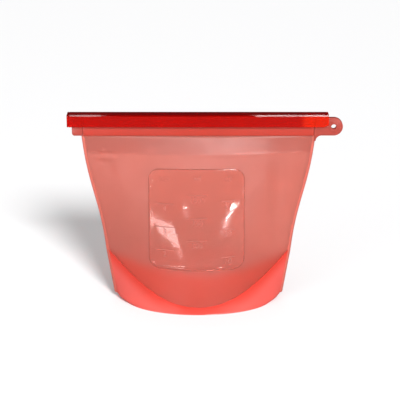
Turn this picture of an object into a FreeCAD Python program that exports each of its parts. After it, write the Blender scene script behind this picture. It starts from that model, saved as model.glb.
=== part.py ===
"""Stand-up silicone storage bag, closed by a rigid slider bar over its two lips.

Lengths are in millimetres. X runs along the mouth, towards the hanging tab, the front wall with the
measuring window faces -Y, and +Z is up. The origin is the middle of the floor, on the surface that the
bag stands on. The front and back walls mirror each other in the plane Y = 0.
"""

import FreeCAD
import Part
import math
import os

Vector = FreeCAD.Vector

# Outline of the shell, seen from the front
mouth_width = 193.6  # across the side seams, just under the lips
waist_width = 156.0  # across the side seams, at the top of the base
foot_width = 143.6  # across the lower corners of the side seams
shell_height = 145.6  # table to the underside of the lips
waist_height = 43.0  # table to where the base meets the side seams
ear_lift = 4.6  # table to the lower corners of the side seams
side_sway = 0.06  # how much the sides curve, as a part of their flare

# Depth of the shell, front to back
base_length = 124.0  # oval line that the shell stands on
base_depth = 76.0
wall_bulge = 3.6  # how far each wall swells out between the base and the shoulder
shoulder_depth = 18.6  # front to back, at the crease under the lips
shoulder_height = 14.6  # height of the sloping shoulder under the lips
base_roundness = 0.5  # exponent of the plan curve at the table: 0.5 is an ellipse
wall_roundness = 1.1  # exponent of the plan curve higher up: 1 is a parabola
roundness_rise = 10.0  # height over which the one turns into the other

# Silicone walls and seams
wall = 1.2  # thickness of the front and back panels
skirt_wall = 2.2  # panel and gusset welded together, below the arc seam
floor_wall = 1.2  # thickness of the gusset's pan
floor_bow = 0.4  # how much of the pan's underside the table flattens
floor_drop = 1.0  # from the arc seam down to the edge of the pan
floor_rise = 2.6  # exponent of the keel: a larger value keeps more of the pan low
floor_bite = 0.3  # how far the pan's edge is pressed into the skirts before it is trimmed
floor_end = 2.5  # from the ends of the pan to the inner edge of the side seams
seam_width = 2.5  # width of the flat side seams
seam_thickness = 2.2
seam_corner = 1.4  # radius of the lower corners of the side seams
wall_edge = 1.2  # half of the depth of the shell along its side edges
arc_low = 5.5  # table to the lowest point of the arc seam

# Lips
lip_height = 15.0
lip_inset = 1.6  # from the outside of the side seams to where the lips are fused together
lip_thickness = 2.0
bead_height = 3.4  # thickened rim along the top of each lip
bead_depth = 1.4  # how far the rim stands out of the lip
bead_round = 0.9
lip_overhang = 7.5  # how far the fused end of the lips runs past the left side seam
lip_end_corner = 2.0

# Hanging tab
tab_reach = 22.2  # from the right side seam to the tab's rounded end
tab_fillet = 4.8  # under the tab, where it runs into the side seam
hole_radius = 2.2
ring_radius = 4.2  # raised ring around the hole
ring_height = 0.4

# Measuring window
window_width = 80.0
window_bottom = 37.0
window_top = 120.0
window_corner = 9.0
window_shift = -1.5  # along the mouth, from the middle of the bag
window_proud = 0.5  # how far the window stands out of the front panel

# Slider bar
bar_side_wall = 1.5
bar_top_wall = 1.5
bar_jaw_height = 2.6
bar_edge = 1.1  # radius along the bar's upper edges
bar_left_overhang = 3.8  # past the fused end of the lips, with the end stop
end_stop_thickness = 1.8
end_stop_edge = 0.6
lead_in_length = 4.5  # slope at the open end, which guides the lips in
lead_in_height = 1.5

# Clearances between pieces that move apart
lip_gap = 0.1  # from each lip to the plane Y = 0
panel_gap = 0.15  # from each panel's edge to the plane Y = 0
seam_gap = 0.3  # between a moving piece and what stands still beside it
slot_gap = 0.4  # between the lips and the bar's jaws
rim_side_gap = 0.75  # between the rims and the sides of the bar's cavity
rim_under_gap = 0.9  # between the rims and the jaws under them
rim_over_gap = 1.9  # between the rims and the top of the cavity
ring_gap = 0.3  # between the tab's ring and the bar's open end
seam_bite = 0.8  # how far the skirts reach into the side seams

# Places worked out from the sizes above
shoulder_z = shell_height - shoulder_height
lip_top = shell_height + lip_height
lip_outer = lip_gap + lip_thickness
bead_outer = lip_outer + bead_depth
seam_x = mouth_width / 2
lip_end_x = seam_x - lip_inset
fused_start = lip_end_x + seam_gap
tab_radius = lip_height / 2
hole_x = seam_x + tab_reach - tab_radius
hole_z = shell_height + tab_radius
cavity_top = lip_top + rim_over_gap
jaw_top = lip_top - bead_height - rim_under_gap
bar_bottom = jaw_top - bar_jaw_height
bar_top = cavity_top + bar_top_wall
bar_left = -seam_x - lip_overhang - bar_left_overhang
bar_right = hole_x - ring_radius - ring_gap
slot_half = lip_outer + slot_gap
cavity_half = bead_outer + rim_side_gap
half_bar = cavity_half + bar_side_wall

# How finely the curved walls are described
plan_points = 17
arc_points = 25
floor_points = 9
floor_sections = 17
far = 400.0  # longer than any piece


def blend(start, end, share):
    """Value that is the given share of the way from start to end."""
    return start + (end - start) * share


def outline_half_width(z):
    """Half of the bag's width at height z, out to the edge of the side seams."""
    if z >= waist_height:
        share = (z - waist_height) / (shell_height - waist_height)
        share -= side_sway * math.sin(2 * math.pi * share)
        return blend(waist_width, mouth_width, share) / 2
    share = max(0.0, z - ear_lift) / (waist_height - ear_lift)
    return blend(foot_width, waist_width, share) / 2


def wall_half_width(z):
    """Half of the width of the front and back walls at height z, inside the side seams."""
    if z >= ear_lift:
        return outline_half_width(z) - seam_width
    share = math.sin(math.pi / 2 * z / ear_lift)
    return blend(base_length / 2, foot_width / 2 - seam_width, share)


def wall_half_depth(z):
    """Distance from the plane Y = 0 to the outside of a wall at height z, in the middle of the bag."""
    if z >= shoulder_z:
        return blend(shoulder_depth / 2, lip_outer, (z - shoulder_z) / shoulder_height)
    share = z / shoulder_z
    return blend(base_depth, shoulder_depth, share) / 2 + wall_bulge * math.sin(math.pi * share)


def wall_exponent(z):
    """Exponent of the wall's plan curve at height z."""
    return blend(wall_roundness, base_roundness, math.exp(-z / roundness_rise))


def wall_depth_at(x, z, inset=0.0):
    """Distance from the plane Y = 0 to a wall's surface, set in from its outside by inset."""
    edge = wall_edge if inset == 0.0 else panel_gap
    share = min(1.0, abs(x) / (wall_half_width(z) - inset))
    bow = (1 - share**2) ** wall_exponent(z)
    return blend(edge, wall_half_depth(z) - inset, bow)


def arc_height(x):
    """Height at x of the arc seam, a parabola along which the gusset is welded to a wall."""
    return blend(arc_low, waist_height, (x / wall_half_width(waist_height)) ** 2)


def spread(start, end, count):
    """Evenly spaced values from start to end, both included."""
    return [blend(start, end, i / (count - 1)) for i in range(count)]


def curve_through(points, shares=None):
    """Smooth edge through the points, which sit at the given shares of its parameter or evenly."""
    curve = Part.BSplineCurve()
    curve.interpolate(Points=points, Parameters=shares or spread(0.0, 1.0, len(points)))
    return curve.toShape()


def prism(points, length):
    """Solid with the closed polygon through the points as its end, extruded along length."""
    return Part.Face(Part.makePolygon(points + points[:1])).extrude(length)


def edges_along(shape, direction):
    """Straight edges of a shape that run along direction."""
    return [
        edge
        for edge in shape.Edges
        if edge.Curve.TypeId == "Part::GeomLine"
        and abs(edge.tangentAt(edge.FirstParameter).dot(direction)) > 0.99
    ]


def section_heights():
    """Heights of the plan sections that the walls are lofted through."""
    foot = spread(0.0, ear_lift, 4)
    base = spread(ear_lift, waist_height, 5)[1:]
    middle = spread(waist_height, shoulder_z, 6)[1:]
    shoulder = spread(shoulder_z, shell_height, 3)[1:]
    return foot + base + middle + shoulder


def plan_curve(z, half_width, edge, depth):
    """Points of a wall's plan curve at height z, bowed towards -Y, closest together at its ends."""
    points = []
    for angle in spread(-math.pi / 2, math.pi / 2, plan_points):
        bow = max(0.0, math.cos(angle)) ** (2 * wall_exponent(z))
        points.append(Vector(half_width * math.sin(angle), -blend(edge, depth, bow), z))
    return points


def wall_section(z, thickness, reach, proud, gap):
    """Closed plan section of a wall: its outside, its inside and its two end lines."""
    half_width = wall_half_width(z) + reach
    depth = wall_half_depth(z)
    outer = plan_curve(z, half_width, wall_edge, depth + proud)
    inner = plan_curve(z, half_width - thickness, gap, depth - thickness)
    shares = [(1 + math.sin(angle)) / 2 for angle in spread(-math.pi / 2, math.pi / 2, plan_points)]
    right_end = Part.makeLine(outer[-1], inner[-1])
    left_end = Part.makeLine(inner[0], outer[0])
    inside = curve_through(inner[::-1], shares)
    return Part.Wire([curve_through(outer, shares), right_end, inside, left_end])


def make_shell(thickness, reach=0.0, proud=0.0, gap=panel_gap):
    """Front wall of the given thickness, from the table to the lips."""
    sections = [wall_section(z, thickness, reach, proud, gap) for z in section_heights()]
    return Part.makeLoft(sections, True, False)


def arc_region(offset, top):
    """Everything between the arc seam, raised by offset, and the height top."""
    limit = wall_half_width(waist_height)
    seam = [Vector(x, -far, arc_height(x) + offset) for x in spread(-limit, limit, arc_points)]
    left, right = seam[0], seam[-1]
    corners = [
        right,
        Vector(far, -far, right.z),
        Vector(far, -far, top),
        Vector(-far, -far, top),
        Vector(-far, -far, left.z),
        left,
    ]
    outline = Part.Wire([curve_through(seam), Part.makePolygon(corners)])
    return Part.Face(outline).extrude(Vector(0, far, 0))


def rounded_slab(left, right, bottom, top, radius):
    """Upright slab in front of the plane Y = 0 with a rounded rectangular outline."""
    slab = Part.makeBox(right - left, far, top - bottom, Vector(left, -far, bottom))
    return slab.makeFillet(radius, edges_along(slab, Vector(0, 1, 0)))


def mirrored(shape):
    """The same piece on the other side of the plane Y = 0."""
    return shape.mirror(Vector(0, 0, 0), Vector(0, 1, 0))


def window_slab():
    """Everything behind the outline of the measuring window."""
    left = window_shift - window_width / 2
    return rounded_slab(left, left + window_width, window_bottom, window_top, window_corner)


def make_back_panel():
    """Back wall above the arc seam."""
    return mirrored(make_shell(wall).common(arc_region(seam_gap, far)))


def make_front_panel():
    """Front wall above the arc seam, with the opening that the window fills."""
    return make_shell(wall).common(arc_region(seam_gap, far)).cut(window_slab())


def make_window():
    """Polished measuring window, which stands a little out of the front panel."""
    return make_shell(wall, 0.0, window_proud).common(window_slab())


def make_skirt():
    """Welded margin of the front wall below the arc seam, down to the table."""
    return make_shell(skirt_wall, seam_gap + seam_bite, gap=0.0).common(arc_region(0.0, -far))


def floor_height(x, y, half_depth):
    """Height of the gusset's middle surface: a keel that rises to both side seams."""
    share = abs(x) / wall_half_width(waist_height)
    keel = blend(floor_wall / 2 - floor_bow, waist_height, share**floor_rise)
    return blend(keel, arc_height(x) - floor_drop, (y / half_depth) ** 2)


def floor_section(x):
    """Closed cross section of the gusset at x, from one skirt to the other."""
    half_depth = wall_depth_at(x, arc_height(x) - floor_drop, skirt_wall) + floor_bite
    across = spread(-half_depth, half_depth, floor_points)
    half_wall = floor_wall / 2
    under = [Vector(x, y, floor_height(x, y, half_depth) - half_wall) for y in across]
    over = [Vector(x, y, floor_height(x, y, half_depth) + half_wall) for y in across]
    back_end = Part.makeLine(under[-1], over[-1])
    front_end = Part.makeLine(over[0], under[0])
    return Part.Wire([curve_through(under), back_end, curve_through(over[::-1]), front_end])


def make_gusset(skirts, seams):
    """Pan of the base, which lies flat on the table in the middle."""
    limit = wall_half_width(waist_height) - floor_end
    sections = [floor_section(x) for x in spread(-limit, limit, floor_sections)]
    pan = Part.makeLoft(sections, True, False)
    below = Part.makeBox(2 * far, 2 * far, far, Vector(-far, -far, -far))
    return pan.cut(Part.makeCompound([below] + skirts + seams))


def make_side_seam(side, skirts):
    """Flat seam on one side (1 is right, -1 is left), from its lower corner to the lips."""
    half_thickness = seam_thickness / 2
    seam_top = shell_height - seam_gap
    heights = [z for z in section_heights() if ear_lift <= z < seam_top] + [seam_top]
    inner = [Vector(side * (wall_half_width(z) + seam_gap), -half_thickness, z) for z in heights]
    outer = [Vector(side * outline_half_width(z), -half_thickness, z) for z in heights]
    bottom = Part.makeLine(inner[0], outer[0])
    top = Part.makeLine(outer[-1], inner[-1])
    outline = Part.Wire([bottom, curve_through(outer), top, curve_through(inner[::-1])])
    plate = Part.Face(outline).extrude(Vector(0, seam_thickness, 0))
    lower_corner = [
        edge
        for edge in edges_along(plate, Vector(0, 1, 0))
        if edge.CenterOfMass.distanceToPoint(outer[0]) < seam_thickness
    ]
    return plate.makeFillet(seam_corner, lower_corner).cut(Part.makeCompound(skirts))


def lip_profile(x, inner):
    """Cross section of the front lip at x, from the plane Y = -inner to the outside of its rim."""
    bead_bottom = lip_top - bead_height
    return [
        Vector(x, -inner, shell_height),
        Vector(x, -lip_outer, shell_height),
        Vector(x, -lip_outer, bead_bottom),
        Vector(x, -bead_outer, bead_bottom),
        Vector(x, -bead_outer, lip_top),
        Vector(x, -inner, lip_top),
    ]


def lip_strip(left, right, inner):
    """Front lip from left to right, with its rounded rim."""
    strip = prism(lip_profile(left, inner), Vector(right - left, 0, 0))
    rim = [
        edge
        for edge in edges_along(strip, Vector(1, 0, 0))
        if abs(edge.CenterOfMass.y + bead_outer) < bead_round
    ]
    return strip.makeFillet(bead_round, rim)


def make_lip():
    """Thick strip along the top of the front wall, which the slider bar holds against the other."""
    return lip_strip(-lip_end_x, lip_end_x, lip_gap)


def seam_foot(side):
    """Joint between the fused end of the lips and the top of a side seam."""
    left = min(side * fused_start, side * seam_x)
    size = Vector(seam_x - fused_start, seam_thickness, seam_gap)
    return Part.makeBox(size.x, size.y, size.z, Vector(left, -size.y / 2, shell_height - seam_gap))


def make_lip_end():
    """Left end of the lips, past the side seam, where both are fused into one strip."""
    left = -seam_x - lip_overhang
    front = lip_strip(left, -fused_start, 0.0)
    strip = front.fuse(mirrored(front)).removeSplitter()
    lower_edges = [
        edge
        for edge in edges_along(strip, Vector(0, 1, 0))
        if edge.CenterOfMass.x < left + lip_end_corner
        and edge.CenterOfMass.z < shell_height + lip_end_corner
    ]
    return strip.makeFillet(lip_end_corner, lower_edges).fuse(seam_foot(-1))


def make_tab():
    """Hanging tab at the right end of the lips, with a hole and a raised ring around it."""
    top_right = Vector(hole_x, -lip_outer, lip_top)
    bottom_right = Vector(hole_x, -lip_outer, shell_height)
    tip = Vector(hole_x + tab_radius, -lip_outer, hole_z)
    web_start = Vector(seam_x + tab_fillet, -lip_outer, shell_height)
    web_end = Vector(seam_x, -lip_outer, shell_height - tab_fillet)
    web_middle = web_start + Vector(0, 0, -tab_fillet) + Vector(-1, 0, 1) * (tab_fillet * math.sqrt(0.5))
    edges = [
        Part.makeLine(Vector(fused_start, -lip_outer, lip_top), top_right),
        Part.Arc(top_right, tip, bottom_right).toShape(),
        Part.makeLine(bottom_right, web_start),
        Part.Arc(web_start, web_middle, web_end).toShape(),
        Part.makePolygon(
            [
                web_end,
                Vector(fused_start, -lip_outer, web_end.z),
                Vector(fused_start, -lip_outer, lip_top),
            ]
        ),
    ]
    plate = Part.Face(Part.Wire(edges)).extrude(Vector(0, 2 * lip_outer, 0))
    ring_reach = lip_outer + ring_height
    along_hole = Vector(0, 1, 0)
    ring_start = Vector(hole_x, -ring_reach, hole_z)
    ring = Part.makeCylinder(ring_radius, 2 * ring_reach, ring_start, along_hole)
    hole = Part.makeCylinder(hole_radius, far, Vector(hole_x, -far / 2, hole_z), along_hole)
    return plate.fuse(ring).cut(hole)


def bar_block(left, right):
    """Solid stretch of the slider bar's outer shape, rounded along its upper edges."""
    size = Vector(right - left, 2 * half_bar, bar_top - bar_bottom)
    block = Part.makeBox(size.x, size.y, size.z, Vector(left, -half_bar, bar_bottom))
    upper = [
        edge
        for edge in edges_along(block, Vector(1, 0, 0))
        if edge.CenterOfMass.z > bar_bottom + bar_edge
    ]
    return block.makeFillet(bar_edge, upper)


def make_slider_bar():
    """Channel that runs over both lips: a cavity for their rims above a slot between two jaws."""
    left = bar_left + end_stop_thickness
    length = Vector(bar_right - left, 0, 0)
    channel = [
        Vector(left, -slot_half, bar_bottom),
        Vector(left, slot_half, bar_bottom),
        Vector(left, slot_half, jaw_top),
        Vector(left, cavity_half, jaw_top),
        Vector(left, cavity_half, cavity_top),
        Vector(left, -cavity_half, cavity_top),
        Vector(left, -cavity_half, jaw_top),
        Vector(left, -slot_half, jaw_top),
    ]
    lead_in = [
        Vector(bar_right, -half_bar, bar_bottom),
        Vector(bar_right - lead_in_length, -half_bar, bar_bottom),
        Vector(bar_right, -half_bar, bar_bottom + lead_in_height),
    ]
    block = bar_block(left, bar_right).cut(prism(channel, length))
    return block.cut(prism(lead_in, Vector(0, 2 * half_bar, 0)))


def make_end_stop():
    """Wall that closes the left end of the slider bar and stops it on the lips."""
    block = bar_block(bar_left, bar_left + end_stop_thickness)
    outer_edges = [edge for edge in block.Edges if edge.CenterOfMass.x < bar_left + end_stop_thickness / 10]
    return block.makeFillet(end_stop_edge, outer_edges)


def make_pieces():
    """Every piece of the bag, by name."""
    front_skirt = make_skirt()
    skirts = [front_skirt, mirrored(front_skirt)]
    seams = [make_side_seam(side, skirts) for side in (-1, 1)]
    front_lip = make_lip()
    return {
        "front_panel": make_front_panel(),
        "measuring_window": make_window(),
        "back_panel": make_back_panel(),
        "front_skirt": skirts[0],
        "back_skirt": skirts[1],
        "base_gusset": make_gusset(skirts, seams),
        "left_side_seam": seams[0],
        "right_side_seam": seams[1],
        "front_lip": front_lip,
        "back_lip": mirrored(front_lip),
        "lip_end": make_lip_end(),
        "hanging_tab": make_tab().fuse(seam_foot(1)).cut(seams[1]),
        "slider_bar": make_slider_bar(),
        "slider_end_stop": make_end_stop(),
    }


def main():
    """Write each piece to its own STEP file in the parts folder."""
    os.makedirs("parts", exist_ok=True)
    for name, shape in make_pieces().items():
        shape.exportStep(f"parts/{name}.step")


main()
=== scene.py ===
"""Visual model of a stand-up silicone storage bag, closed by a rigid slider bar over its two lips.

Lengths are in metres. X runs along the mouth, towards the hanging tab, the front wall with the measuring
window faces -Y, and +Z is up. The bag stands on the plane Z = 0.
"""

import logging
import math
from abc import ABC, abstractmethod
from dataclasses import dataclass
from enum import Enum
from typing import Callable

import bmesh
import bpy
from mathutils import Matrix, Vector


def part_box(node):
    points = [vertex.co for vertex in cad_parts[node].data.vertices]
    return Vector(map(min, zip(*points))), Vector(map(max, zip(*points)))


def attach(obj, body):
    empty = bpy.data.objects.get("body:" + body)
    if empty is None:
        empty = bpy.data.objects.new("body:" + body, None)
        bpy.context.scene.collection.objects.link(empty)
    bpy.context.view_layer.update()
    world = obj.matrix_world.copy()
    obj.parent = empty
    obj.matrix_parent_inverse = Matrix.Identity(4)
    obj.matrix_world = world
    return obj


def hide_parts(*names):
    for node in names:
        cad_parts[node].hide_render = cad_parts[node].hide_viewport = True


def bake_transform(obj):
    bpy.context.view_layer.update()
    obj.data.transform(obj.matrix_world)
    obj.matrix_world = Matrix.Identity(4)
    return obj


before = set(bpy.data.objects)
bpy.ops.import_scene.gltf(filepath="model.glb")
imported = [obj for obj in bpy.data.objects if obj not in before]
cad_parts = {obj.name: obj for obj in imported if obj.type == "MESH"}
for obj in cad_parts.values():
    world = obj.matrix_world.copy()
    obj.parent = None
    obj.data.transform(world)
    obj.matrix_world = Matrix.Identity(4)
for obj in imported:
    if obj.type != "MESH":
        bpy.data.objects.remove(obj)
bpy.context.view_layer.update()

MM = 0.001
# Point attribute with the strength of the painted glow near the base.
BASE_GLOW_TINT = "base_glow_tint"
MERGE_DISTANCE = 0.003 * MM
CREASE_ANGLE = math.radians(35.0)

log = logging.getLogger("silicone_bag")

Piece = bpy.types.Object
Tree = bpy.types.NodeTree
Node = bpy.types.Node
Socket = bpy.types.NodeSocket
Colour = tuple[float, float, float, float]
Pair = tuple[float, float]
Place = Callable[[float, float], Vector]


class Wall(Enum):
    """The two walls of the bag, by the direction along Y that each faces."""

    FRONT = -1
    BACK = 1


class Side(Enum):
    """The two sides of the bag, by their direction along X."""

    LEFT = -1
    RIGHT = 1


class Body(Enum):
    """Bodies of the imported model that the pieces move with."""

    BAG = "bag"
    FRONT_WALL = "front_wall"
    BACK_WALL = "back_wall"
    SLIDER = "slider"


# Small helpers


def mix(start: float, end: float, share: float) -> float:
    """Value that is the given share of the way from start to end."""
    return start + (end - start) * share


def smooth_step(value: float, low: float, high: float) -> float:
    """Smooth rise from 0 at low to 1 at high, flat outside."""
    share = min(1.0, max(0.0, (value - low) / (high - low)))
    return share * share * (3 - 2 * share)


def hump(x: float, z: float, centre: Pair, reach: Pair) -> float:
    """Rounded bump of height 1 on a wall.

    Args:
        x: Place along the mouth.
        z: Height of the place.
        centre: X and Z of the middle of the bump.
        reach: How far the bump spreads along X and along Z.

    Returns:
        Height of the bump at the place, between 0 and 1.
    """
    across = (x - centre[0]) / reach[0]
    up = (z - centre[1]) / reach[1]
    return math.exp(-across * across - up * up)


def turn_about(centre: Pair, radius: float, start: float, end: float, steps: int) -> list[Pair]:
    """Points of an arc in the plane Y = 0.

    Args:
        centre: X and Z of its centre.
        radius: Its radius.
        start: Angle of its first point, in degrees.
        end: Angle of its last point, in degrees.
        steps: Number of straight lines that the arc is made of.

    Returns:
        X and Z of each point.
    """
    angles = [math.radians(mix(start, end, i / steps)) for i in range(steps + 1)]
    return [(centre[0] + radius * math.cos(a), centre[1] + radius * math.sin(a)) for a in angles]


def only(piece: Piece) -> None:
    """Select one piece alone, and make it the active one.

    Args:
        piece: The piece.
    """
    bpy.ops.object.select_all(action="DESELECT")
    piece.select_set(True)
    bpy.context.view_layer.objects.active = piece


def leave_edit() -> None:
    """Go back to object mode."""
    bpy.ops.object.mode_set(mode="OBJECT")


def edit_all(piece: Piece) -> None:
    """Enter edit mode on a piece with all of it selected.

    Args:
        piece: The piece.
    """
    only(piece)
    bpy.ops.object.mode_set(mode="EDIT")
    bpy.ops.mesh.select_all(action="SELECT")


def select_parts(piece: Piece, kind: str, wanted: list[bool]) -> None:
    """Enter edit mode on a piece with only some of its faces or edges selected.

    Args:
        piece: The piece.
        kind: "FACE" or "EDGE".
        wanted: For each face or edge of the mesh, whether it is selected.
    """
    only(piece)
    bpy.ops.object.mode_set(mode="EDIT")
    bpy.ops.mesh.select_mode(type=kind)
    bpy.ops.mesh.select_all(action="DESELECT")
    leave_edit()
    parts = piece.data.polygons if kind == "FACE" else piece.data.edges
    for part, chosen in zip(parts, wanted):
        part.select = chosen
    bpy.ops.object.mode_set(mode="EDIT")


def select_faces(piece: Piece, wanted: Callable[[bpy.types.MeshPolygon], bool]) -> None:
    """Enter edit mode on a piece with only the wanted faces selected.

    Args:
        piece: The piece.
        wanted: Whether a face is wanted.
    """
    select_parts(piece, "FACE", [wanted(face) for face in piece.data.polygons])


def select_edges(piece: Piece, wanted: Callable[[Vector, Vector], bool]) -> None:
    """Enter edit mode on a piece with only the wanted edges, given by their ends, selected.

    Args:
        piece: The piece.
        wanted: Whether an edge between two points is wanted.
    """
    points = piece.data.vertices
    ends = [edge.vertices for edge in piece.data.edges]
    select_parts(piece, "EDGE", [wanted(points[start].co, points[end].co) for start, end in ends])


def apply_modifier(piece: Piece, kind: str, **settings: object) -> None:
    """Add a modifier to a piece and apply it at once.

    Args:
        piece: The piece.
        kind: Type of the modifier.
        **settings: Values of the modifier's own settings.
    """
    only(piece)
    modifier = piece.modifiers.new(kind.lower(), kind)
    for name, value in settings.items():
        setattr(modifier, name, value)
    bpy.ops.object.modifier_apply(modifier=modifier.name)


def round_edges(piece: Piece, width: float, segments: int = 2, angle: float = 50.0) -> None:
    """Round the sharp edges of a piece.

    Args:
        piece: The piece.
        width: Width of the rounding.
        segments: Number of strips in the rounding.
        angle: Smallest angle between faces, in degrees, that counts as sharp.
    """
    limit = math.radians(angle)
    apply_modifier(
        piece, "BEVEL", width=width, segments=segments, limit_method="ANGLE", angle_limit=limit
    )


def combine(piece: Piece, tool: Piece, operation: str) -> None:
    """Cut a tool out of a piece, or join it on, and remove the tool.

    Args:
        piece: The piece that is changed.
        tool: The closed shape that changes it.
        operation: "DIFFERENCE" or "UNION".
    """
    apply_modifier(piece, "BOOLEAN", object=tool, operation=operation, solver="EXACT")
    bpy.data.objects.remove(tool, do_unlink=True)


def slice_piece(piece: Piece, point: Vector, normal: Vector, remove: bool = False) -> None:
    """Cut through a piece with a plane.

    Args:
        piece: The piece.
        point: A point on the plane.
        normal: Direction that the plane faces.
        remove: Whether what lies on the normal's side is removed and the cut closed.
    """
    edit_all(piece)
    bpy.ops.mesh.bisect(plane_co=point, plane_no=normal, use_fill=remove, clear_outer=remove)
    leave_edit()


def finish_mesh(piece: Piece, flat: bool = False) -> None:
    """Merge the points of a piece that coincide, and shade it.

    Args:
        piece: The piece.
        flat: Whether large faces are shaded flat beside rounded edges.
    """
    edit_all(piece)
    bpy.ops.mesh.remove_doubles(threshold=MERGE_DISTANCE)
    leave_edit()
    bpy.ops.object.shade_smooth_by_angle(angle=CREASE_ANGLE)
    if flat:
        apply_modifier(piece, "WEIGHTED_NORMAL", keep_sharp=True)


def settle(name: str) -> Piece:
    """Name the new active object and put its size and place into its mesh.

    Args:
        name: Name of the piece.

    Returns:
        The piece.
    """
    piece = bpy.context.object
    piece.name = name
    piece.data.name = name
    only(piece)
    bpy.ops.object.transform_apply(location=True, rotation=True, scale=True)
    return piece


def block(name: str, low: Vector, high: Vector) -> Piece:
    """Start a piece as a block between two corners.

    Args:
        name: Name of the piece.
        low: Lowest corner.
        high: Highest corner.

    Returns:
        The new piece.
    """
    bpy.ops.object.select_all(action="DESELECT")
    bpy.ops.mesh.primitive_cube_add(size=1.0, location=(low + high) / 2, scale=high - low)
    return settle(name)


def disc(name: str, centre: Vector, radius: float, depth: float, vertices: int) -> Piece:
    """Start a piece as an upright disc that faces along Y.

    Args:
        name: Name of the piece.
        centre: Middle of the disc.
        radius: Its radius.
        depth: Its size along Y.
        vertices: Number of points around it.

    Returns:
        The new piece.
    """
    bpy.ops.object.select_all(action="DESELECT")
    upright = (math.pi / 2, 0.0, 0.0)
    bpy.ops.mesh.primitive_cylinder_add(
        vertices=vertices, radius=radius, depth=depth, location=centre, rotation=upright
    )
    return settle(name)


def add_item(name: str, data: bpy.types.ID) -> Piece:
    """Add an object that shows a mesh, lamp or camera to the scene.

    Args:
        name: Name of the object.
        data: The mesh, lamp or camera.

    Returns:
        The new object.
    """
    item = bpy.data.objects.new(name, data)
    bpy.context.scene.collection.objects.link(item)
    return item


def add_mesh(name: str, mesh: bmesh.types.BMesh) -> Piece:
    """Make a piece of a finished mesh.

    Args:
        name: Name of the piece.
        mesh: Its mesh, which is freed.

    Returns:
        The new piece.
    """
    data = bpy.data.meshes.new(name)
    mesh.to_mesh(data)
    mesh.free()
    return add_item(name, data)


def plate(name: str, outline: list[Pair], half: float) -> Piece:
    """Build a flat soft piece that stands upright in the plane Y = 0.

    Args:
        name: Name of the piece.
        outline: X and Z of each point of its outline, counterclockwise as seen from the front.
        half: Half of its thickness.

    Returns:
        The new piece.
    """
    mesh = bmesh.new()
    front = [mesh.verts.new((x, -half, z)) for x, z in outline]
    back = [mesh.verts.new((x, half, z)) for x, z in outline]
    mesh.faces.new(front)
    mesh.faces.new(back[::-1])
    for i in range(len(outline)):
        k = (i + 1) % len(outline)
        mesh.faces.new((front[i], back[i], back[k], front[k]))
    return add_mesh(name, mesh)


def closed_sheet(name: str, columns: int, rows: int, outside: Place, inside: Place) -> Piece:
    """Build a thin closed piece between two surfaces.

    Both surfaces are given over the same unit square. Seen from outside, u runs to the right and v runs up.

    Args:
        name: Name of the piece.
        columns: Number of faces along u.
        rows: Number of faces along v.
        outside: Place on the outer surface for u and v between 0 and 1.
        inside: Place on the inner surface for the same u and v.

    Returns:
        The new piece.
    """
    mesh = bmesh.new()
    across = [i / columns for i in range(columns + 1)]
    up = [j / rows for j in range(rows + 1)]
    outer, inner = (
        [[mesh.verts.new(surface(u, v)) for u in across] for v in up] for surface in (outside, inside)
    )
    for j in range(rows):
        for i in range(columns):
            mesh.faces.new((outer[j][i], outer[j][i + 1], outer[j + 1][i + 1], outer[j + 1][i]))
            mesh.faces.new((inner[j][i], inner[j + 1][i], inner[j + 1][i + 1], inner[j][i + 1]))
    for i in range(columns):
        mesh.faces.new((outer[0][i], inner[0][i], inner[0][i + 1], outer[0][i + 1]))
        mesh.faces.new((outer[-1][i], outer[-1][i + 1], inner[-1][i + 1], inner[-1][i]))
    for j in range(rows):
        mesh.faces.new((outer[j][0], outer[j + 1][0], inner[j + 1][0], inner[j][0]))
        mesh.faces.new((outer[j][-1], inner[j][-1], inner[j + 1][-1], outer[j + 1][-1]))
    return add_mesh(name, mesh)


# Shape that the soft pieces share


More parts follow.
